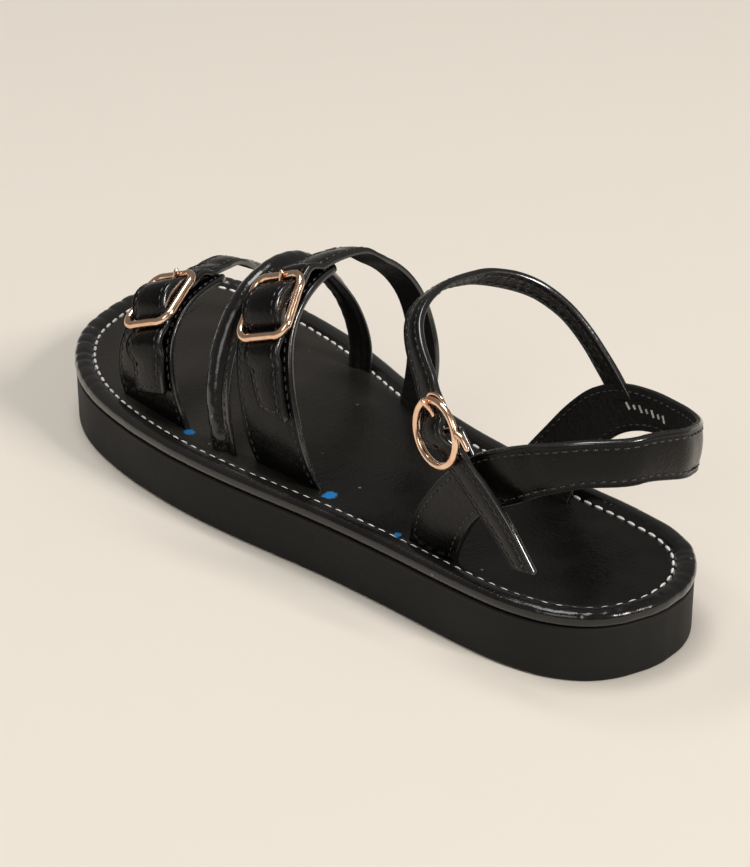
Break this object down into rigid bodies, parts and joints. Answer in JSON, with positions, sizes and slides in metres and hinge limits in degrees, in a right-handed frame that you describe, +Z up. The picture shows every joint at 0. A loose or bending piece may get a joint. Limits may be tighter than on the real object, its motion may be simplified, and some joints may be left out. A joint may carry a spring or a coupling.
{
  "type": "gladiator sandal",
  "caption": "Left flat sandal with a platform sole, leather footbed, buckled toe and instep straps, a rolled strap, a heel sling and a buckled ankle strap.",
  "frame": {"origin": "on the ground under the middle of the bounding box", "axes": "+X towards the toe, +Y towards the outer side of the left foot, +Z up"},
  "size_m": [0.253, 0.0918, 0.0903],
  "materials": {
    "outsole": "matt",
    "footbed": "smooth, soft sheen",
    "strap_leather": "smooth, semi-gloss",
    "buckle_metal": "polished rose gold plating"
  },
  "bodies": {
    "root": {"outsole": "outsole", "footbed": "footbed", "toe_anchor": "strap_leather", "toe_strap": "strap_leather", "rolled_strap": "strap_leather", "instep_anchor": "strap_leather", "instep_strap": "strap_leather", "heel_and_ankle_strap": "strap_leather", "toe_buckle": "buckle_metal", "toe_prong": "buckle_metal", "instep_buckle": "buckle_metal", "instep_prong": "buckle_metal", "ankle_buckle": "buckle_metal", "ankle_prong": "buckle_metal"}
  },
  "joints": []
}
